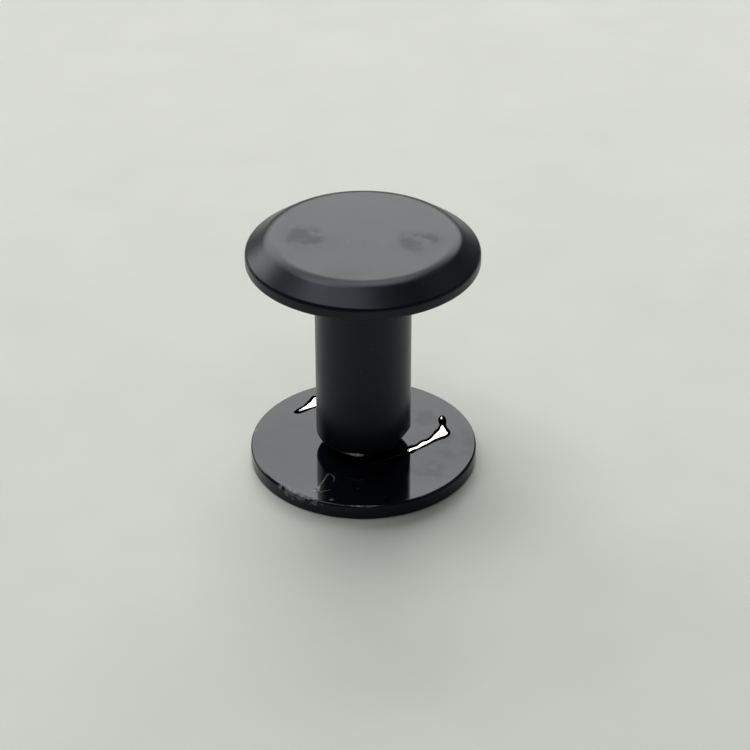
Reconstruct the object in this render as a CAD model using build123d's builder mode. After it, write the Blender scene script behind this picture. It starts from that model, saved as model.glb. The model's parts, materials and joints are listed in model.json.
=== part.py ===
from build123d import *
from math import radians, tan
import os

# Chicago screw, standing on the slotted head of its screw half.
# Lengths are in millimetres. The origin is the centre of the underside, and +Z runs up the axis.

# Both heads
head_diameter = 12.0

# Screw half: a flat disc with a threaded shank
screw_head_thickness = 0.8
screw_face_round = 0.15
screw_underside_chamfer = 0.08
slot_length = 7.0
slot_width = 1.2
slot_depth = 0.45
shank_tip_chamfer = 0.45
shank_root_round = 0.15

# Thread, M4 coarse, drawn as plain cylinders on its pitch diameter
thread_diameter = 4.0
thread_pitch = 0.7
thread_clearance = 0.05
turns_from_home = 1.0

# Post half: a barrel with a bevelled head and a blind tapped bore
barrel_diameter = 5.0
barrel_length = 10.4
barrel_end_chamfer = 0.2
bore_mouth_chamfer = 0.3
bore_end_wall = 1.75
drill_point_angle = 118.0
shank_tip_clearance = 1.5
head_root_round = 0.2
rim_height = 0.6
rim_under_round = 0.12
rim_top_round = 0.25
bevel_width = 1.2
bevel_height = 0.85
flat_edge_round = 1.0

# Radii
head_radius = head_diameter / 2
barrel_radius = barrel_diameter / 2
flat_radius = head_radius - bevel_width
pitch_line_share = 0.6495
shank_radius = (thread_diameter - pitch_line_share * thread_pitch) / 2
bore_radius = shank_radius + thread_clearance

# Heights: the screw is short of home by whole turns, so the barrel's end stands clear of the disc
barrel_end_z = screw_head_thickness + turns_from_home * thread_pitch
grip_top_z = barrel_end_z + barrel_length
rim_top_z = grip_top_z + rim_height
post_top_z = rim_top_z + bevel_height

# Depths: the shank is as long as the bore leaves room for when the screw is home
drill_point_height = bore_radius / tan(radians(drill_point_angle / 2))
drill_tip_z = post_top_z - bore_end_wall
bore_floor_z = drill_tip_z - drill_point_height
shank_length = bore_floor_z - barrel_end_z - shank_tip_clearance
shank_tip_z = screw_head_thickness + shank_length

os.makedirs("parts", exist_ok=True)

# Screw: half-section turned about the axis, with the disc's face softly rounded at its rim
underside_rim = (head_radius, 0)
face_rim = (head_radius, screw_head_thickness)
shank_root = (shank_radius, screw_head_thickness)
shank_tip = (shank_radius, shank_tip_z)

with BuildPart() as screw:
    with BuildSketch(Plane.XZ) as screw_section:
        with BuildLine():
            Polyline((0, 0), underside_rim, face_rim, shank_root, shank_tip, (0, shank_tip_z), close=True)
        make_face()
        chamfer(screw_section.vertices().sort_by_distance(underside_rim)[0], screw_underside_chamfer)
        fillet(screw_section.vertices().sort_by_distance(face_rim)[0], screw_face_round)
        fillet(screw_section.vertices().sort_by_distance(shank_root)[0], shank_root_round)
        chamfer(screw_section.vertices().sort_by_distance(shank_tip)[0], shank_tip_chamfer)
    revolve(axis=Axis.Z)
    # Closed driver slot in the underside, stopping short of the rim
    with BuildSketch(Plane.XY):
        SlotOverall(slot_length, slot_width)
    extrude(amount=slot_depth, mode=Mode.SUBTRACT)

# Post: half-section of barrel and head, turned about the axis
barrel_end = (barrel_radius, barrel_end_z)
head_root = (barrel_radius, grip_top_z)
rim_under = (head_radius, grip_top_z)
rim_top = (head_radius, rim_top_z)
flat_edge = (flat_radius, post_top_z)

with BuildPart() as post:
    with BuildSketch(Plane.XZ) as post_section:
        with BuildLine():
            Polyline(
                (0, barrel_end_z),
                barrel_end,
                head_root,
                rim_under,
                rim_top,
                flat_edge,
                (0, post_top_z),
                close=True,
            )
        make_face()
        chamfer(post_section.vertices().sort_by_distance(barrel_end)[0], barrel_end_chamfer)
        fillet(post_section.vertices().sort_by_distance(head_root)[0], head_root_round)
        fillet(post_section.vertices().sort_by_distance(rim_under)[0], rim_under_round)
        fillet(post_section.vertices().sort_by_distance(rim_top)[0], rim_top_round)
        fillet(post_section.vertices().sort_by_distance(flat_edge)[0], flat_edge_round)
    revolve(axis=Axis.Z)
    # Blind bore with a drill point at its end and a countersunk mouth
    with BuildSketch(Plane.XZ):
        with BuildLine():
            Polyline(
                (0, barrel_end_z),
                (bore_radius + bore_mouth_chamfer, barrel_end_z),
                (bore_radius, barrel_end_z + bore_mouth_chamfer),
                (bore_radius, bore_floor_z),
                (0, drill_tip_z),
                close=True,
            )
        make_face()
    revolve(axis=Axis.Z, mode=Mode.SUBTRACT)

screw.part.label = "screw"
export_step(screw.part, "parts/screw.step")

post.part.label = "post"
export_step(post.part, "parts/post.step")
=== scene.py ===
import json
import math

import bmesh
import bpy
from mathutils import Matrix, Vector


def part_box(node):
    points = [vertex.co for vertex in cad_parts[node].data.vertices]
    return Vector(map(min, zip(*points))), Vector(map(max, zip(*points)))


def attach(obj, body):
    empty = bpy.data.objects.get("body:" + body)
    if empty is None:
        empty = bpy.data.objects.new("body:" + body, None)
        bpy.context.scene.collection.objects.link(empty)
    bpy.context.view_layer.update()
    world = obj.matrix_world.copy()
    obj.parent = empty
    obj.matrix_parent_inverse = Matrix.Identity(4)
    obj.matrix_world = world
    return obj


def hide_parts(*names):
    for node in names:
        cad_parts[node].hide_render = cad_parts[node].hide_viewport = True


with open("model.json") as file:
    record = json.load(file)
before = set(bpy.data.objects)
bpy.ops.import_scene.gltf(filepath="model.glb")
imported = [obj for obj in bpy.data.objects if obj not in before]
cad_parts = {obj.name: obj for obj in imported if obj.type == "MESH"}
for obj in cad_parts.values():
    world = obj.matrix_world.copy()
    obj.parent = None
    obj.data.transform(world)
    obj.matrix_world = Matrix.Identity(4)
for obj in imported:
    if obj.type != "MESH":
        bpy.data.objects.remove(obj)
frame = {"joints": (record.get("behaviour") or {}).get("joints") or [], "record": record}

bl_info = {
    "name": "Chicago Screw Dresser",
    "version": (1, 0, 0),
    "blender": (4, 5, 0),
    "location": "3D View > Sidebar > Chicago Screw",
    "description": "Dresses a chicago screw with turned heads, a cut thread, black lacquer and its scrapes",
    "category": "Object",
}

MM = 0.001
FULL_TURN = 2 * math.pi
MERGE_DISTANCE = 1e-7
ON_RING = 1e-6

# Sizes read from the frame: the disc stands on Z 0, and the barrel's end hangs one thread pitch above its face
_, SCREW_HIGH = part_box("screw")
POST_LOW, POST_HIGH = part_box("post")
BARREL_MOUNT = next(mount for mount in frame["record"]["mounts"] if mount["name"] == "barrel")
HEAD_RADIUS = SCREW_HIGH[0]
BARREL_RADIUS = BARREL_MOUNT["dims"]["r_mm"] * MM
THREAD_PITCH = -frame["joints"][0]["range_m"][0]
BARREL_END = POST_LOW[2]
DISC_FACE = BARREL_END - THREAD_PITCH
POST_TOP = POST_HIGH[2]
SHANK_TIP = SCREW_HIGH[2]

# How finely the turned and threaded surfaces are divided
TURN_STEPS = 192
THREAD_STEPS = 72
ROUND_SEGMENTS = 8
HOLD_WIDTH = 0.03 * MM
BRIDGE_GAP = 0.05 * MM

# M4 thread, in millimetres: radius of each crest and root, the flat on it, and how far it takes to run out
SCREW_CREST, SCREW_CREST_FLAT = 1.97, 0.1
SCREW_ROOT, SCREW_ROOT_FLAT = 1.55, 0.115
BORE_CREST, BORE_CREST_FLAT = 1.65, 0.186
BORE_ROOT, BORE_ROOT_FLAT = 2.03, 0.075
SCREW_RUN_OUT, BORE_RUN_OUT = 0.4, 0.3
DRILL_HALF_ANGLE = 59

# Scrapes on the disc's face: outlines in millimetres, X to the right and Y away from the camera
RIGHT_SCRAPE = (
    (2.21, -0.83), (2.31, -1.19), (2.55, -1.17), (2.81, -0.89), (3.1, -0.66), (3.46, -0.37), (3.78, -0.07),
    (4.07, 0.12), (4.35, 0.27), (4.53, 0.48), (4.62, 0.74), (4.58, 0.99), (4.45, 1.25), (4.41, 1.51),
    (4.42, 1.9), (4.38, 2.2), (4.28, 2.38), (4.16, 2.31), (4.07, 2.07), (4.07, 1.9), (4.12, 1.51),
    (4.07, 1.34), (3.99, 1.12), (3.84, 0.91), (3.69, 0.56), (3.5, 0.27), (3.33, 0.1), (3.11, -0.01),
    (2.87, -0.31), (2.7, -0.43), (2.51, -0.48), (2.32, -0.67),
)
RIGHT_STEEL = (
    (2.29, -0.98), (2.38, -1.08), (2.5, -1.0), (2.67, -0.83), (2.81, -0.79), (3.1, -0.54), (3.46, -0.22),
    (3.78, 0.1), (3.97, 0.23), (4.21, 0.4), (4.36, 0.48), (4.52, 0.7), (4.44, 0.87), (4.38, 1.12),
    (4.29, 1.38), (4.22, 1.57), (4.15, 1.42), (4.11, 1.16), (4.05, 0.95), (3.91, 0.74), (3.76, 0.48),
    (3.57, 0.14), (3.35, -0.07), (3.13, -0.16), (2.87, -0.5), (2.7, -0.64), (2.51, -0.73), (2.35, -0.85),
)
RIGHT_STEEL_TIP = ((4.16, 2.12), (4.21, 2.08), (4.25, 2.17), (4.22, 2.26), (4.17, 2.22))
LEFT_SCRAPE = (
    (-3.77, 2.75), (-3.67, 2.65), (-3.45, 2.67), (-3.12, 2.9), (-2.85, 3.1), (-2.62, 3.23), (-2.2, 3.5),
    (-1.9, 3.85), (-1.95, 4.2), (-2.3, 4.38), (-2.69, 4.35), (-2.82, 4.3), (-2.98, 3.91), (-3.14, 3.61),
    (-3.33, 3.3), (-3.55, 3.1), (-3.68, 2.9),
)
LEFT_STEEL = (
    (-3.62, 2.82), (-3.5, 2.8), (-3.27, 2.96), (-3.13, 3.04), (-2.88, 3.18), (-2.6, 3.34), (-2.25, 3.6),
    (-2.03, 3.88), (-2.08, 4.1), (-2.38, 4.26), (-2.72, 4.17), (-2.87, 3.81), (-3.03, 3.56), (-3.19, 3.3),
    (-3.38, 3.1),
)
# Thin dull scratches beside the barrel: (x, y, width) along each
SCRATCHES = (
    ((-2.44, -4.52, 0.2), (-2.3, -4.3, 0.22), (-2.14, -3.9, 0.11), (-1.98, -3.5, 0.1), (-1.84, -3.1, 0.12)),
    ((-1.84, -3.08, 0.08), (-1.68, -3.12, 0.07), (-1.5, -3.4, 0.08), (-1.54, -3.8, 0.04)),
    ((-2.36, -4.66, 0.14), (-2.18, -4.68, 0.1), (-1.96, -4.64, 0.05), (-1.7, -4.5, 0.04)),
    ((-1.72, -5.44, 0.14), (-1.6, -5.38, 0.16), (-1.48, -5.42, 0.1)),
    ((1.9, -1.35, 0.05), (1.3, -1.72, 0.07), (0.6, -2.12, 0.05), (-0.15, -2.58, 0.04)),
)
# The bright heel of the first scratch, in the same form
SCRATCH_HEEL = ((-2.52, -4.66, 0.12), (-2.42, -4.54, 0.3), (-2.32, -4.38, 0.24), (-2.24, -4.16, 0.12))
# Plates that carry the marks, in millimetres: how deep they are sunk, then each one's height, rim width and rise
MARK_SINK = 0.01
COAT_EDGE_PLATE = (0.014, 0.06, 0.006)
STEEL_PLATE = (0.022, 0.03, 0.003)
SCRATCH_PLATE = (0.014, 0.02, 0.003)
HEEL_PLATE = (0.018, 0.02, 0.003)
COAT_EDGE_GROWTH, STEEL_GROWTH = 0.045, -0.02
OUTLINE_STEPS, STROKE_STEPS = 4, 6
# Rubs along the disc's edge: two bearings in degrees, then inset, drop and half thickness in millimetres.
# The last row is no rub but a painted highlight: a grey line where the edge's rounding catches the ceiling light.
RIM_RUBS_AND_HIGHLIGHT = (
    (-138, -122, 0.07, 0.04, 0.04),
    (-131, -116, 0.05, 0.06, 0.045),
    (-124, -112, 0.09, 0.03, 0.04),
    # Painted highlight: a pale line along the rounding at the front of the disc's edge
    (-105, -82, 0.07, 0.035, 0.055),
)
# Burr on the barrel's end: two bearings in degrees, then inset, height and half thickness in millimetres.
# Its pale grey is a painted highlight, for the bright streak along the front of the barrel's end.
BARREL_BURR_AND_HIGHLIGHT = (-117, -89, 0.04, 0.07, 0.11)
# Knock in the barrel's end: its bearing in degrees, then its depth, its height and how far up it may reach
DENT_BEARING = -24
DENT_DEPTH, DENT_HEIGHT, DENT_REACH = 0.42, 0.55, 1.0

# Places where the black is rubbed through, and smudges, in millimetres: centre, radius and softness.
# The spots on the barrel's end are a painted highlight, and the third smudge on the disc is painted shade.
DISC_WEAR = (
    ((-4.35, -4.12, 0.7), 0.14, 0.1),
    ((-3.92, -4.53, 0.66), 0.22, 0.15),
    ((-3.6, -4.8, 0.62), 0.25, 0.15),
    ((-3.2, -5.08, 0.66), 0.18, 0.15),
    ((-2.85, -5.28, 0.64), 0.2, 0.15),
    ((-2.5, -5.45, 0.68), 0.16, 0.12),
    ((-2.15, -5.6, 0.7), 0.08, 0.1),
    ((-5.82, 1.03, 0.77), 0.12, 0.06),
)
# Painted shade: the third, broad patch dims the disc's reflection towards its right
DISC_SMUDGES_AND_SHADE = (((3.4, -2.6, 0.8), 0.6, 0.8), ((3.3, 2.2, 0.8), 0.4, 0.7), ((5.1, -0.4, 0.8), 0.8, 1.4))
# Painted highlight: a pale wedge along the front of the barrel's end, widening to the right
BARREL_END_PAINTED_HIGHLIGHT = (
    ((-0.85, -2.27, 1.56), 0.06, 0.06),
    ((-0.6, -2.36, 1.56), 0.08, 0.06),
    ((-0.38, -2.4, 1.55), 0.1, 0.06),
    ((-0.16, -2.43, 1.54), 0.13, 0.06),
)
HEAD_SMUDGES = (((-3.0, -0.2, 13.35), 0.6, 1.0), ((2.85, -0.6, 13.35), 0.6, 1.0))

# Coat: the tint of its sheen, its roughness and how far a smudge raises it, and its orange peel in millimetres.
# The blue tint of the sheen is painted light: it stands in for bluish light from the room.
LACQUER_IOR = 1.39
DISC_COAT = ((0.8, 0.86, 1.0), 0.07, 0.06, 0.0005)
POST_COAT = ((0.76, 0.84, 1.0), 0.3, 0.08, 0.0008)

# Soft lamps: place, width and depth in metres, and the radiance that the lamp's own face shows
LAMP_COLOUR = (1.0, 0.985, 0.93)
LAMPS = (
    ("window_low", (-0.26, 0.9, 0.56), 1.9, 0.52, 3.5),
    ("window_high", (-0.05, 0.66, 0.7), 1.1, 0.38, 0.7),
    ("ceiling_back", (-0.11, 0.26, 0.8), 0.8, 0.4, 3.8),
    ("ceiling_front", (-0.13, -0.15, 0.8), 0.84, 0.17, 2.9),
    ("wall_right", (0.85, 0.15, 0.75), 0.7, 0.6, 0.25),
)
# Strength of the room as the camera sees it, as the lacquer mirrors it, and as it lights everything
ROOM_SEEN, ROOM_MIRRORED, ROOM_LIGHT = 0.85, 0.07, 0.03

# Camera, fitted to the rims of both heads in the photo: degrees downwards, and place and distance in millimetres
CAMERA_ELEVATION = 32.63
CAMERA_TARGET = (0.61, 0, 4.957)
CAMERA_DISTANCE = 122.67
CAMERA_SENSOR, CAMERA_LENS = 36.0, 112.46
CAMERA_CLIP = 0.01

# Table: half its width in metres, and how far below the disc it lies in millimetres
TABLE_REACH = 0.6
TABLE_DROP = 0.005


# Colour and node helpers

def srgb(hex_colour):
    """A hex colour as linear red, green, blue and alpha."""
    channels = [int(hex_colour[i:i + 2], 16) / 255 for i in (1, 3, 5)]
    linear = [c / 12.92 if c <= 0.04045 else ((c + 0.055) / 1.055) ** 2.4 for c in channels]
    return (*linear, 1.0)


def add_node(tree, kind, inputs=None, **settings):
    """Adds a node, sets its properties, and fills its inputs with values or with links from other sockets."""
    node = tree.nodes.new(kind)
    for name, value in settings.items():
        setattr(node, name, value)
    for key, value in (inputs or {}).items():
        if isinstance(value, bpy.types.NodeSocket):
            tree.links.new(value, node.inputs[key])
        else:
            node.inputs[key].default_value = value
    return node


def new_material(name):
    """A material with its nodes cleared, its tree and the Object coordinates that its patterns read."""
    material = bpy.data.materials.new(name)
    material.use_nodes = True
    tree = material.node_tree
    tree.nodes.clear()
    place = add_node(tree, "ShaderNodeTexCoord").outputs["Object"]
    return material, tree, place


def finish_material(tree, inputs):
    """Ends a material with a Principled shader that has these inputs."""
    shader = add_node(tree, "ShaderNodeBsdfPrincipled", inputs)
    add_node(tree, "ShaderNodeOutputMaterial", {"Surface": shader.outputs[0]})


def noise(tree, place, size, detail=2.0, roughness=0.5):
    """Noise whose blotches are about a size in millimetres."""
    node = add_node(
        tree,
        "ShaderNodeTexNoise",
        {"Vector": place, "Scale": 1 / (size * MM), "Detail": detail, "Roughness": roughness},
    )
    return node.outputs["Fac"]


def ramp(tree, value, low, high, to_low=0.0, to_high=1.0):
    """Maps a value from one range to another with soft ends."""
    node = add_node(
        tree,
        "ShaderNodeMapRange",
        {"Value": value, "From Min": low, "From Max": high, "To Min": to_low, "To Max": to_high},
        interpolation_type="SMOOTHSTEP",
    )
    return node.outputs["Result"]


def calc(tree, operation, first, second):
    return add_node(tree, "ShaderNodeMath", {0: first, 1: second}, operation=operation).outputs[0]


def mix_colour(tree, factor, first, second):
    return add_node(tree, "ShaderNodeMix", {0: factor, 6: first, 7: second}, data_type="RGBA").outputs[2]


def bumped(tree, height, strength, distance):
    """A normal roughened by a height pattern that rises by a distance in millimetres."""
    inputs = {"Height": height, "Strength": strength, "Distance": distance * MM}
    return add_node(tree, "ShaderNodeBump", inputs).outputs["Normal"]


def spot(tree, place, centre, radius, softness):
    """A mask that is 1 within a radius of a point, in millimetres, and falls to 0 across the softness."""
    apart = add_node(
        tree,
        "ShaderNodeVectorMath",
        {0: place, 1: [part * MM for part in centre]},
        operation="DISTANCE",
    )
    return ramp(tree, apart.outputs["Value"], (radius + softness) * MM, radius * MM)


# Materials

def lacquer(name, black, coat, smudges_and_shade, rubs_and_highlight_spots):
    """Black lacquer baked on steel: a deep black that mirrors the sky where it is seen at a slant.

    The eye gets a faint orange peel, finger smudges that dull and grey the reflection in soft patches, a few
    specks of dust, and the grey undercoat where the black is rubbed through at an edge. Some of this is painted
    light: one broad patch on the disc is painted shade that dims its reflection on its right, the grey spots on the
    barrel's end are a painted highlight, and the blue tint of the sheen stands in for bluish light in the room.
    """
    tint, roughness, smudge_rise, peel = coat
    material, tree, place = new_material(name)
    blotch = noise(tree, place, 2.2, 3.0, 0.55)
    film_and_shade = ramp(tree, blotch, 0.4, 0.8, 0.0, 0.5)
    # Smudges, and on the disc one broad patch of painted shade that dims its reflection
    for centre, radius, softness in smudges_and_shade:
        patch = spot(tree, place, centre, radius, softness)
        broken = calc(tree, "MULTIPLY", patch, ramp(tree, noise(tree, place, 0.9, 3.0, 0.55), 0.3, 0.65))
        film_and_shade = calc(tree, "MAXIMUM", film_and_shade, broken)
    gloss = ramp(tree, film_and_shade, 0.0, 1.0, roughness, roughness + smudge_rise)
    colour = mix_colour(tree, film_and_shade, list(black), srgb("#0D0E12"))
    dust = ramp(tree, noise(tree, place, 0.11, 1.0, 0.4), 0.76, 0.8)
    colour = mix_colour(tree, dust, colour, srgb("#3A3B3C"))
    rubs_and_highlight = 0.0
    # Rubbed-through spots, and on the barrel's end spots of painted highlight
    for centre, radius, softness in rubs_and_highlight_spots:
        rubs_and_highlight = calc(tree, "MAXIMUM", rubs_and_highlight, spot(tree, place, centre, radius, softness))
    ragged = calc(tree, "MULTIPLY", rubs_and_highlight, noise(tree, place, 0.3, 3.0, 0.6))
    rubs_and_highlight = ramp(tree, ragged, 0.36, 0.62, 0.0, 0.65)
    finish_material(
        tree,
        {
            "Base Color": mix_colour(tree, rubs_and_highlight, colour, srgb("#8C8C8A")),
            "Roughness": calc(tree, "ADD", gloss, calc(tree, "MULTIPLY", rubs_and_highlight, 0.25)),
            "Specular IOR Level": ramp(tree, film_and_shade, 0.0, 1.0, 0.5, 0.38),
            "IOR": LACQUER_IOR,
            # Painted light: the sheen is tinted blue for bluish room light
            "Specular Tint": (*tint, 1.0),
            "Normal": bumped(tree, noise(tree, place, 0.4, 1.0), 1.0, peel),
        },
    )
    return material


def bare_steel(steel):
    """Bright steel bared by a scrape: it mirrors the sky, so it reads as a white line on the black."""
    material, tree, place = new_material("bare_scraped_steel")
    drag = noise(tree, place, 0.15, 3.0)
    pits = ramp(tree, noise(tree, place, 0.09, 2.0), 0.66, 0.72)
    colour = mix_colour(tree, pits, list(steel), srgb("#77757A"))
    finish_material(
        tree,
        {
            "Base Color": colour,
            "Metallic": 1.0,
            "Roughness": ramp(tree, drag, 0.2, 0.8, 0.16, 0.34),
            "Normal": bumped(tree, drag, 0.6, 0.002),
        },
    )
    return material


def torn_edge_and_painted_shade():
    """The broken, lifted edge of the coat round a scrape: dull dead black that outlines the bright steel, with no
    sheen at all, as painted shade for the shadow along the chipped coat.
    """
    material, tree, place = new_material("torn_edge_painted_shade")
    finish_material(
        tree,
        {
            # Painted shade: a near-black colour with no sheen, so the lip stays black under any light
            "Base Color": mix_colour(tree, noise(tree, place, 0.2), srgb("#020203"), srgb("#060607")),
            "Roughness": 0.55,
            "Specular IOR Level": 0.0,
            "Normal": bumped(tree, noise(tree, place, 0.08), 0.5, 0.004),
        },
    )
    return material


def grey_scuff_and_highlight(name, dull, bright):
    """Lacquer scuffed to grey by a knock or rub short of clean steel: it breaks the black with a dull line. On the
    barrel's burr and along the front of the disc's edge, its pale grey is a painted highlight.
    """
    material, tree, place = new_material(name)
    grain = noise(tree, place, 0.12, 3.0, 0.6)
    colour = mix_colour(tree, ramp(tree, grain, 0.4, 0.62), srgb(dull), srgb(bright))
    finish_material(tree, {"Base Color": colour, "Metallic": 0.5, "Roughness": 0.45})
    return material


def table_top(board):
    """Pale melamine board: matt to the eye, with a soft sheen at a slant and a barely mottled off-white."""
    material, tree, place = new_material("pale_melamine_table")
    mottle = noise(tree, place, 9, 4.0)
    colour = mix_colour(tree, ramp(tree, mottle, 0.3, 0.7, 0.0, 0.5), list(board), srgb("#C1C5C3"))
    gloss = ramp(tree, noise(tree, place, 3, 3.0), 0.3, 0.7, 0.34, 0.4)
    finish_material(tree, {"Base Color": colour, "Roughness": gloss, "Specular IOR Level": 0.15})
    return material


def room():
    """A dim, slightly blue room, shown pale to the camera so that no dark horizon stands behind the table."""
    world = bpy.data.worlds.new("soft_room")
    world.use_nodes = True
    tree = world.node_tree
    tree.nodes.clear()
    ray = add_node(tree, "ShaderNodeLightPath").outputs
    seen = calc(tree, "MAXIMUM", ray["Is Camera Ray"], ray["Is Transmission Ray"])
    mirrored = calc(tree, "MULTIPLY", ray["Is Glossy Ray"], ROOM_MIRRORED)
    strength = calc(tree, "ADD", calc(tree, "MULTIPLY", seen, ROOM_SEEN), mirrored)
    background = add_node(
        tree,
        "ShaderNodeBackground",
        {
            "Color": mix_colour(tree, seen, srgb("#DCE6F2"), srgb("#DFE2DD")),
            "Strength": calc(tree, "ADD", strength, ROOM_LIGHT),
        },
    )
    add_node(tree, "ShaderNodeOutputWorld", {"Surface": background.outputs[0]})
    return world


# Mesh helpers

def rounding_offset(previous, corner, following, rounding):
    """How far from a corner its rounding starts, along both of its sides."""
    turn = (corner - previous).angle(following - corner)
    return rounding * math.tan(turn / 2)


def turn_outline(bm, corners):
    """Turns an outline of (radius, height, rounding) corners about the axis and rounds its corners.

    Each rounding gets a hold point on both sides, so that the flat and straight faces stay flat to the light.
    """
    points = [Vector((radius, 0, height)) for radius, height, _ in corners]
    outline = [points[0]]
    offsets = {}
    for i in range(1, len(corners) - 1):
        if corners[i][2]:
            offsets[i] = rounding_offset(points[i - 1], points[i], points[i + 1], corners[i][2])
            before = (points[i - 1] - points[i]).normalized() * (offsets[i] + HOLD_WIDTH)
            after = (points[i + 1] - points[i]).normalized() * (offsets[i] + HOLD_WIDTH)
            outline.extend([points[i] + before, points[i], points[i] + after])
        else:
            outline.append(points[i])
    outline.append(points[-1])
    verts = [bm.verts.new(point) for point in outline]
    edges = [bm.edges.new(pair) for pair in zip(verts, verts[1:])]
    bmesh.ops.spin(
        bm,
        geom=verts + edges,
        cent=(0, 0, 0),
        axis=(0, 0, 1),
        dvec=(0, 0, 0),
        angle=FULL_TURN,
        steps=TURN_STEPS,
        use_merge=True,
    )
    bmesh.ops.remove_doubles(bm, verts=bm.verts, dist=MERGE_DISTANCE)
    for i, offset in offsets.items():
        bmesh.ops.bevel(
            bm,
            geom=ring_edges(bm, points[i].x, points[i].z),
            offset=offset,
            offset_type="OFFSET",
            affect="EDGES",
            segments=ROUND_SEGMENTS,
            profile=0.5,
            material=-1,
            clamp_overlap=False,
        )


def edges_of(verts):
    """The edges at these vertices, each once."""
    return list(dict.fromkeys(edge for vert in verts for edge in vert.link_edges))


def ring_edges(bm, radius, height):
    """The edges of the ring at a radius and height."""
    def on_ring(vert):
        return math.hypot(math.hypot(vert.co.x, vert.co.y) - radius, vert.co.z - height) < ON_RING

    return [edge for edge in bm.edges if all(on_ring(vert) for vert in edge.verts)]


def open_ring(bm, height):
    """The open edges at a height."""
    return [
        edge
        for edge in bm.edges
        if edge.is_boundary and all(abs(vert.co.z - height) < ON_RING for vert in edge.verts)
    ]


def add_thread(bm, low_flat, high_flat, low_radius, high_radius, low, high, limit):
    """Adds a right-hand thread between two heights: one pitch of outline swept up a helix and cut square.

    The outline starts at low_radius for half of low_flat, climbs a flank to high_radius, stays there for high_flat
    and comes back. limit gives the radius that each height allows.
    """
    flank = (THREAD_PITCH - low_flat - high_flat) / 2
    rise = [0, low_flat / 2, low_flat / 2 + flank, THREAD_PITCH - low_flat / 2 - flank]
    rise += [THREAD_PITCH - low_flat / 2, THREAD_PITCH]
    radii = [low_radius, low_radius, high_radius, high_radius, low_radius, low_radius]
    start = DISC_FACE + (math.floor((low - DISC_FACE) / THREAD_PITCH) - 1) * THREAD_PITCH
    turns = math.ceil((high - start) / THREAD_PITCH) + 1
    thread = bmesh.new()
    verts = [thread.verts.new((radius, 0, start + z)) for radius, z in zip(radii, rise)]
    edges = [thread.edges.new(pair) for pair in zip(verts, verts[1:])]
    bmesh.ops.spin(
        thread,
        geom=verts + edges,
        cent=(0, 0, 0),
        axis=(0, 0, 1),
        dvec=(0, 0, THREAD_PITCH / THREAD_STEPS),
        angle=FULL_TURN * turns,
        steps=THREAD_STEPS * turns,
        use_merge=False,
    )
    bmesh.ops.remove_doubles(thread, verts=thread.verts, dist=MERGE_DISTANCE)
    for height, side in ((low, -1), (high, 1)):
        bmesh.ops.bisect_plane(
            thread,
            geom=thread.verts[:] + thread.edges[:] + thread.faces[:],
            dist=MERGE_DISTANCE,
            plane_co=(0, 0, height),
            plane_no=(0, 0, side),
            clear_outer=True,
        )
    for vert in thread.verts:
        radius = math.hypot(vert.co.x, vert.co.y)
        allowed = limit(vert.co.z, radius)
        vert.co.x *= allowed / radius
        vert.co.y *= allowed / radius
    mesh = bpy.data.meshes.new("thread")
    thread.to_mesh(mesh)
    thread.free()
    bm.from_mesh(mesh)
    bpy.data.meshes.remove(mesh)


def bridge(bm, *edge_loops):
    bmesh.ops.bridge_loops(bm, edges=[edge for loop in edge_loops for edge in loop])


def slot_ring(bm, length, width, height):
    """The outline of a closed slot with round ends: a circle whose halves are moved apart."""
    made = bmesh.ops.create_circle(
        bm,
        cap_ends=False,
        radius=width / 2,
        segments=32,
        matrix=Matrix.Rotation(FULL_TURN / 64, 4, "Z"),
    )
    reach = (length - width) / 2
    for vert in made["verts"]:
        vert.co.x += math.copysign(reach, vert.co.x)
        vert.co.z = height
    return edges_of(made["verts"])


def smooth_loop(points, steps):
    """A closed outline drawn smoothly through points, with a number of steps between each two."""
    count = len(points)
    outline = []
    for i in range(count):
        before, start, end, after = (Vector(points[(i + k) % count]) for k in (-1, 0, 1, 2))
        for step in range(steps):
            t = step / steps
            cubic = -before + 3 * start - 3 * end + after
            square = 2 * before - 5 * start + 4 * end - after
            outline.append((cubic * t ** 3 + square * t ** 2 + (end - before) * t + 2 * start) / 2)
    return outline


def grown(outline, distance):
    """A closed anticlockwise outline moved outwards by a distance."""
    moved = []
    for i, point in enumerate(outline):
        along = outline[(i + 1) % len(outline)] - outline[i - 1]
        moved.append(point + Vector((along.y, -along.x)).normalized() * distance)
    return moved


def raised_plate(bm, outline, form):
    """A thin plate over an outline in millimetres, sunk a little in the disc's face, with a softly sloped rim."""
    height, rim_width, rim_rise = (part * MM for part in form)
    base = DISC_FACE - MARK_SINK * MM
    bottom = bm.faces.new([bm.verts.new((point[0] * MM, point[1] * MM, base)) for point in outline])
    bottom.normal_update()
    raised = bmesh.ops.extrude_face_region(bm, geom=[bottom], use_keep_orig=True)["geom"]
    top = next(part for part in raised if isinstance(part, bmesh.types.BMFace))
    bmesh.ops.translate(bm, verts=top.verts, vec=(0, 0, height))
    for share in (0.4, 0.6):
        bm.normal_update()
        bmesh.ops.inset_region(
            bm,
            faces=[top],
            thickness=rim_width * share,
            depth=rim_rise * (1 - share),
            use_even_offset=True,
        )


def cut_faces(bm, faces, place, normal):
    """Cuts faces along a plane and keeps both sides."""
    geometry = dict.fromkeys(part for face in faces for part in (face, *face.verts, *face.edges))
    bmesh.ops.bisect_plane(bm, geom=list(geometry), dist=MERGE_DISTANCE, plane_co=place, plane_no=normal)


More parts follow.
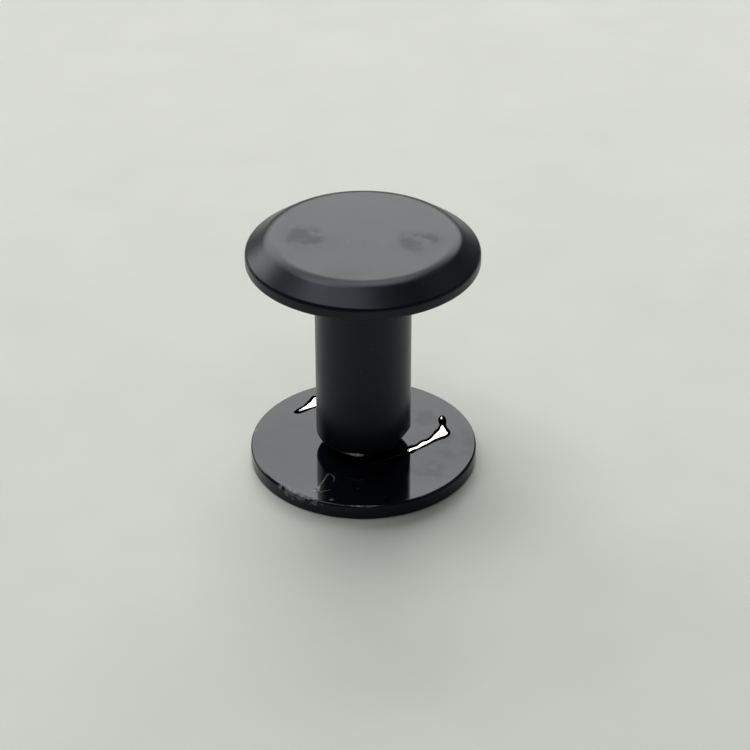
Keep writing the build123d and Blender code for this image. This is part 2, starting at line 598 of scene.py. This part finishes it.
def dent_barrel_end(bm):
    """Knocks a small facet into the barrel's end at its right front."""
    bearing = math.radians(DENT_BEARING)
    depth_at_end = DENT_DEPTH * MM
    outward = Vector((math.cos(bearing), math.sin(bearing), 0))
    touch = outward * (BARREL_RADIUS - depth_at_end) + Vector((0, 0, BARREL_END))
    normal = (outward * DENT_HEIGHT * MM - Vector((0, 0, depth_at_end))).normalized()
    reach = BARREL_END + DENT_REACH * MM
    near = [face for face in bm.faces if min(vert.co.z for vert in face.verts) < reach]
    cut_faces(bm, near, (0, 0, reach), (0, 0, 1))
    low = [face for face in bm.faces if max(vert.co.z for vert in face.verts) < reach + MERGE_DISTANCE]
    cut_faces(bm, low, touch, normal)
    for vert in bm.verts:
        depth = (vert.co - touch).dot(normal)
        if depth > 0 and vert.co.z < reach:
            vert.co -= normal * depth


def stroke(points, steps):
    """The outline of a tapering stroke along (x, y, width) points."""
    spine = []
    for start, end in zip(points, points[1:]):
        for step in range(steps):
            spine.append(Vector(start).lerp(Vector(end), step / steps))
    spine.append(Vector(points[-1]))
    left = []
    right = []
    for i, point in enumerate(spine):
        ahead = spine[min(i + 1, len(spine) - 1)] - spine[max(i - 1, 0)]
        side = Vector((-ahead.y, ahead.x)).normalized()
        wobble = 1 + 0.25 * math.sin(5.1 * i) * math.cos(2.3 * i)
        left.append(point.xy + side * point.z / 2 * wobble)
        right.append(point.xy - side * point.z / 2 * wobble)
    return right + left[::-1]


def turned_lip(bm, radius, height, thickness, start, end, floor=0.0):
    """A thin lip along a turned edge, between two bearings in degrees.

    It tapers to both ends, and no point of it lies below the floor.
    """
    others = set(bm.verts)
    start, end = math.radians(start), math.radians(end)
    place = Matrix.Rotation(start, 4, "Z") @ Matrix.Translation((radius, 0, height))
    ring = bmesh.ops.create_circle(
        bm,
        cap_ends=False,
        radius=thickness,
        segments=12,
        matrix=place @ Matrix.Rotation(math.pi / 2, 4, "X"),
    )["verts"]
    bmesh.ops.spin(
        bm,
        geom=ring + edges_of(ring),
        cent=(0, 0, 0),
        axis=(0, 0, 1),
        dvec=(0, 0, 0),
        angle=end - start,
        steps=32,
        use_merge=False,
    )
    for vert in set(bm.verts) - others:
        bearing = math.atan2(vert.co.y, vert.co.x)
        share = min(1, max(0, (bearing - start) / (end - start)))
        centre = Vector((math.cos(bearing) * radius, math.sin(bearing) * radius, height))
        vert.co = centre.lerp(vert.co, 0.1 + 0.9 * math.sin(math.pi * share ** 2))
        vert.co.z = max(vert.co.z, floor)
    bmesh.ops.holes_fill(bm, edges=[edge for edge in bm.edges if edge.is_boundary])


def make_piece(bm, name, material, body, node=None):
    """Turns a closed bmesh into a smooth-shaded piece that rides on a body and may replace a CAD node."""
    if not all(edge.is_manifold for edge in bm.edges):
        raise RuntimeError(name + " is not closed")
    bmesh.ops.recalc_face_normals(bm, faces=bm.faces)
    mesh = bpy.data.meshes.new(name)
    bm.to_mesh(mesh)
    bm.free()
    mesh.materials.append(material)
    mesh.polygons.foreach_set("use_smooth", [True] * len(mesh.polygons))
    mesh.set_sharp_from_angle(angle=math.radians(40))
    piece = bpy.data.objects.new(name, mesh)
    bpy.context.scene.collection.objects.link(piece)
    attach(piece, body)
    if node:
        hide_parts(node)


def soft_lamp(name, place, width, depth, radiance):
    """A rectangular soft lamp that faces the object, with the brightness that its own face shows."""
    data = bpy.data.lights.new(name, "AREA")
    data.shape = "RECTANGLE"
    data.size = width
    data.size_y = depth
    data.energy = radiance * math.pi * width * depth
    data.color = LAMP_COLOUR
    lamp = bpy.data.objects.new(name, data)
    lamp.location = place
    lamp.rotation_euler = Vector(place).to_track_quat("Z", "Y").to_euler()
    bpy.context.scene.collection.objects.link(lamp)


# Settings

def length_property(name, description, millimetres):
    return bpy.props.FloatProperty(
        name=name,
        description=description,
        default=millimetres * MM,
        min=0,
        unit="LENGTH",
        precision=5,
    )


def colour_property(name, description, hex_colour):
    return bpy.props.FloatVectorProperty(
        name=name,
        description=description,
        default=srgb(hex_colour),
        size=4,
        min=0,
        max=1,
        subtype="COLOR",
    )


class ChicagoScrewSettings(bpy.types.PropertyGroup):
    """Sizes and colours of the two halves."""

    disc_edge_round: length_property("Disc edge round", "Rounding of the disc's face at its rim", 0.15)
    slot_length: length_property("Slot length", "Length of the driver slot in the underside", 7.0)
    slot_width: length_property("Slot width", "Width of the driver slot", 1.2)
    slot_depth: length_property("Slot depth", "Depth of the driver slot", 0.45)
    rim_height: length_property("Rim height", "Height of the upright rim of the bevelled head", 0.6)
    rim_round: length_property("Rim round", "Rounding between the rim and the bevel", 0.25)
    bevel_width: length_property("Bevel width", "Width of the bevel, measured across the head", 1.2)
    bevel_height: length_property("Bevel height", "Height of the bevel", 0.85)
    flat_edge_round: length_property("Flat edge round", "Rounding between the bevel and the flat top", 1.0)
    barrel_end_round: length_property("Barrel end round", "Rounding of the barrel's open end", 0.2)
    bore_depth: length_property("Bore depth", "Depth of the bore from the barrel's end to its full width", 9.0)
    lacquer_colour: colour_property("Lacquer", "Colour of the black lacquer", "#080B12")
    steel_colour: colour_property("Bare steel", "Colour of the steel in the scrapes", "#EAE8E4")
    table_colour: colour_property("Table", "Colour of the table top", "#C7CBC9")


# Operators

class CHICAGO_OT_screw(bpy.types.Operator):
    """Make the screw half: a thin disc with a driver slot and a threaded shank"""

    bl_idname = "chicago.screw"
    bl_label = "Screw half"

    def execute(self, context):
        settings = context.scene.chicago_settings
        neck_radius = 1.5 * MM
        neck_round = 0.12 * MM
        tip_radius = 1.32 * MM
        run_out = SCREW_RUN_OUT * MM
        underside_edge = HEAD_RADIUS - 0.3 * MM
        underside_round = 0.08 * MM
        neck_top = DISC_FACE + 0.3 * MM
        thread_start = neck_top + BRIDGE_GAP
        bm = bmesh.new()
        turn_outline(
            bm,
            [
                (neck_radius, neck_top, 0),
                (neck_radius, DISC_FACE, neck_round),
                (HEAD_RADIUS, DISC_FACE, settings.disc_edge_round),
                (HEAD_RADIUS, 0, underside_round),
                (underside_edge, 0, 0),
            ],
        )

        def shank_limit(height, radius):
            at_tip = tip_radius + (SHANK_TIP - height)
            at_neck = neck_radius + max(0, height - thread_start - run_out) * 4
            return min(radius, at_tip, at_neck)

        add_thread(
            bm,
            SCREW_ROOT_FLAT * MM,
            SCREW_CREST_FLAT * MM,
            SCREW_ROOT * MM,
            SCREW_CREST * MM,
            thread_start,
            SHANK_TIP,
            shank_limit,
        )
        bridge(bm, open_ring(bm, neck_top), open_ring(bm, thread_start))
        bmesh.ops.holes_fill(bm, edges=open_ring(bm, SHANK_TIP))
        # Driver slot, with its mouth eased
        ease = 0.05 * MM
        mouth = slot_ring(bm, settings.slot_length + 2 * ease, settings.slot_width + 2 * ease, 0)
        wall_foot = slot_ring(bm, settings.slot_length, settings.slot_width, ease)
        wall_top = slot_ring(bm, settings.slot_length, settings.slot_width, settings.slot_depth)
        bridge(bm, mouth, wall_foot)
        bridge(bm, wall_foot, wall_top)
        bmesh.ops.holes_fill(bm, edges=wall_top)
        bmesh.ops.triangle_fill(bm, edges=mouth + ring_edges(bm, underside_edge, 0), use_beauty=True)
        material = lacquer("gloss_black_lacquer", settings.lacquer_colour, DISC_COAT, DISC_SMUDGES_AND_SHADE, DISC_WEAR)
        make_piece(bm, "screw_half", material, "screw_half", "screw")
        return {"FINISHED"}


class CHICAGO_OT_post(bpy.types.Operator):
    """Make the post half: a bevelled head on a barrel with a blind tapped bore"""

    bl_idname = "chicago.post"
    bl_label = "Post half"

    def execute(self, context):
        settings = context.scene.chicago_settings
        rim_top = POST_TOP - settings.bevel_height
        rim_under = rim_top - settings.rim_height
        rim_under_round = 0.12 * MM
        head_root_round = 0.2 * MM
        mouth_radius = 2.12 * MM
        mouth_step = 0.06 * MM
        mouth_foot = BARREL_END + mouth_step
        thread_start = mouth_foot + 0.03 * MM
        bore_floor = BARREL_END + settings.bore_depth
        thread_end = bore_floor - 0.6 * MM
        run_out = BORE_RUN_OUT * MM
        bore_crest = BORE_CREST * MM
        bore_root = BORE_ROOT * MM
        bm = bmesh.new()
        turn_outline(
            bm,
            [
                (0, POST_TOP, 0),
                (HEAD_RADIUS - settings.bevel_width, POST_TOP, settings.flat_edge_round),
                (HEAD_RADIUS, rim_top, settings.rim_round),
                (HEAD_RADIUS, rim_under, rim_under_round),
                (BARREL_RADIUS, rim_under, head_root_round),
                (BARREL_RADIUS, BARREL_END, settings.barrel_end_round),
                (mouth_radius, BARREL_END, 0),
                (mouth_radius - mouth_step, mouth_foot, 0),
            ],
        )
        dent_barrel_end(bm)

        def bore_limit(height, radius):
            at_end = bore_crest + max(0, thread_end - height - run_out)
            at_mouth = mouth_radius - (height - BARREL_END)
            return max(min(radius, at_end), at_mouth)

        add_thread(
            bm,
            BORE_CREST_FLAT * MM,
            BORE_ROOT_FLAT * MM,
            bore_crest,
            bore_root,
            thread_start,
            thread_end,
            bore_limit,
        )
        bridge(bm, open_ring(bm, mouth_foot), open_ring(bm, thread_start))
        # Plain drilled end of the bore, with its point
        drill_point = bore_crest / math.tan(math.radians(DRILL_HALF_ANGLE))
        turn_outline(
            bm,
            [
                (bore_crest, thread_end + BRIDGE_GAP, 0),
                (bore_crest, bore_floor, 0),
                (0, bore_floor + drill_point, 0),
            ],
        )
        bridge(bm, open_ring(bm, thread_end), open_ring(bm, thread_end + BRIDGE_GAP))
        material = lacquer("satin_black_lacquer", settings.lacquer_colour, POST_COAT, HEAD_SMUDGES, BARREL_END_PAINTED_HIGHLIGHT)
        make_piece(bm, "post_half", material, "post_half", "post")
        return {"FINISHED"}


class CHICAGO_OT_marks(bpy.types.Operator):
    """Lay the scrapes, scratches and rubs on the disc, and the burr on the barrel's end"""

    bl_idname = "chicago.marks"
    bl_label = "Scrapes, scratches and rubs"

    def execute(self, context):
        torn_and_shaded = torn_edge_and_painted_shade()
        steel = bare_steel(context.scene.chicago_settings.steel_colour)
        # Painted shade: the coat's lifted edges are drawn dead black round each scrape
        coat_edges = bmesh.new()
        for outline in (RIGHT_SCRAPE, LEFT_SCRAPE):
            raised_plate(coat_edges, grown(smooth_loop(outline, OUTLINE_STEPS), COAT_EDGE_GROWTH), COAT_EDGE_PLATE)
        make_piece(coat_edges, "scrape_edges", torn_and_shaded, "screw_half")

        floors = bmesh.new()
        for outline in (RIGHT_STEEL, RIGHT_STEEL_TIP, LEFT_STEEL):
            raised_plate(floors, grown(smooth_loop(outline, OUTLINE_STEPS), STEEL_GROWTH), STEEL_PLATE)
        make_piece(floors, "scrape_steel", steel, "screw_half")

        scratches = bmesh.new()
        for scratch in SCRATCHES:
            raised_plate(scratches, stroke(scratch, STROKE_STEPS), SCRATCH_PLATE)
        grey = grey_scuff_and_highlight("scuffed_grey_lacquer", "#161619", "#4C4D50")
        make_piece(scratches, "scratches", grey, "screw_half")

        # Painted highlight: the burr's pale grey stands for the bright streak on the barrel's end
        burr = bmesh.new()
        start, end, inset, rise, thickness = BARREL_BURR_AND_HIGHLIGHT
        turned_lip(burr, BARREL_RADIUS - inset * MM, BARREL_END + rise * MM, thickness * MM, start, end, BARREL_END)
        grey = grey_scuff_and_highlight("chipped_edge_painted_highlight", "#A4A5A6", "#D2D3D4")
        make_piece(burr, "barrel_end_burr_and_highlight", grey, "post_half")

        # Rubs along the disc's edge, and a painted highlight along its front
        rim_rubs_and_painted_highlight = bmesh.new()
        for start, end, inset, drop, thickness in RIM_RUBS_AND_HIGHLIGHT:
            turned_lip(rim_rubs_and_painted_highlight, HEAD_RADIUS - inset * MM, DISC_FACE - drop * MM, thickness * MM, start, end)
        raised_plate(rim_rubs_and_painted_highlight, stroke(SCRATCH_HEEL, STROKE_STEPS), HEEL_PLATE)
        grey = grey_scuff_and_highlight("scuffed_rim_and_painted_highlight", "#3A3A3D", "#8C8D90")
        make_piece(rim_rubs_and_painted_highlight, "rim_rubs_and_painted_highlight", grey, "screw_half")
        return {"FINISHED"}


class CHICAGO_OT_stage(bpy.types.Operator):
    """Lay the pale table, hang the soft lamps and set the camera"""

    bl_idname = "chicago.stage"
    bl_label = "Table, lamps and camera"

    def execute(self, context):
        scene = context.scene
        bm = bmesh.new()
        bmesh.ops.create_grid(bm, x_segments=2, y_segments=2, size=TABLE_REACH)
        mesh = bpy.data.meshes.new("table")
        bm.to_mesh(mesh)
        bm.free()
        mesh.materials.append(table_top(scene.chicago_settings.table_colour))
        table = bpy.data.objects.new("table", mesh)
        table.location.z = -TABLE_DROP * MM
        scene.collection.objects.link(table)

        for row in LAMPS:
            soft_lamp(*row)
        scene.world = room()

        elevation = math.radians(CAMERA_ELEVATION)
        target = Vector(CAMERA_TARGET) * MM
        toward_camera = Vector((0, -math.cos(elevation), math.sin(elevation)))
        camera_data = bpy.data.cameras.new("photo_camera")
        camera_data.sensor_width = CAMERA_SENSOR
        camera_data.lens = CAMERA_LENS
        camera_data.clip_start = CAMERA_CLIP
        camera = bpy.data.objects.new("photo_camera", camera_data)
        camera.location = target + toward_camera * CAMERA_DISTANCE * MM
        camera.rotation_euler = (math.pi / 2 - elevation, 0, 0)
        scene.collection.objects.link(camera)
        scene.camera = camera
        scene.view_settings.view_transform = "Standard"
        return {"FINISHED"}


# Sidebar

class CHICAGO_PT_panel(bpy.types.Panel):
    """Settings and build steps of the chicago screw"""

    bl_idname = "CHICAGO_PT_panel"
    bl_label = "Chicago Screw"
    bl_space_type = "VIEW_3D"
    bl_region_type = "UI"
    bl_category = "Chicago Screw"

    def draw(self, context):
        for name in ChicagoScrewSettings.__annotations__:
            self.layout.prop(context.scene.chicago_settings, name)
        for operator in OPERATORS:
            self.layout.operator(operator.bl_idname)


OPERATORS = (CHICAGO_OT_screw, CHICAGO_OT_post, CHICAGO_OT_marks, CHICAGO_OT_stage)
CLASSES = (ChicagoScrewSettings, *OPERATORS, CHICAGO_PT_panel)


def register():
    for each in CLASSES:
        bpy.utils.register_class(each)
    bpy.types.Scene.chicago_settings = bpy.props.PointerProperty(type=ChicagoScrewSettings)


def unregister():
    del bpy.types.Scene.chicago_settings
    for each in reversed(CLASSES):
        bpy.utils.unregister_class(each)


def main():
    """Registers the add-on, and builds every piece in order."""
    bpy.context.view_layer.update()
    register()
    bpy.ops.chicago.screw()
    bpy.ops.chicago.post()
    bpy.ops.chicago.marks()
    bpy.ops.chicago.stage()


if __name__ == "__main__":
    main()
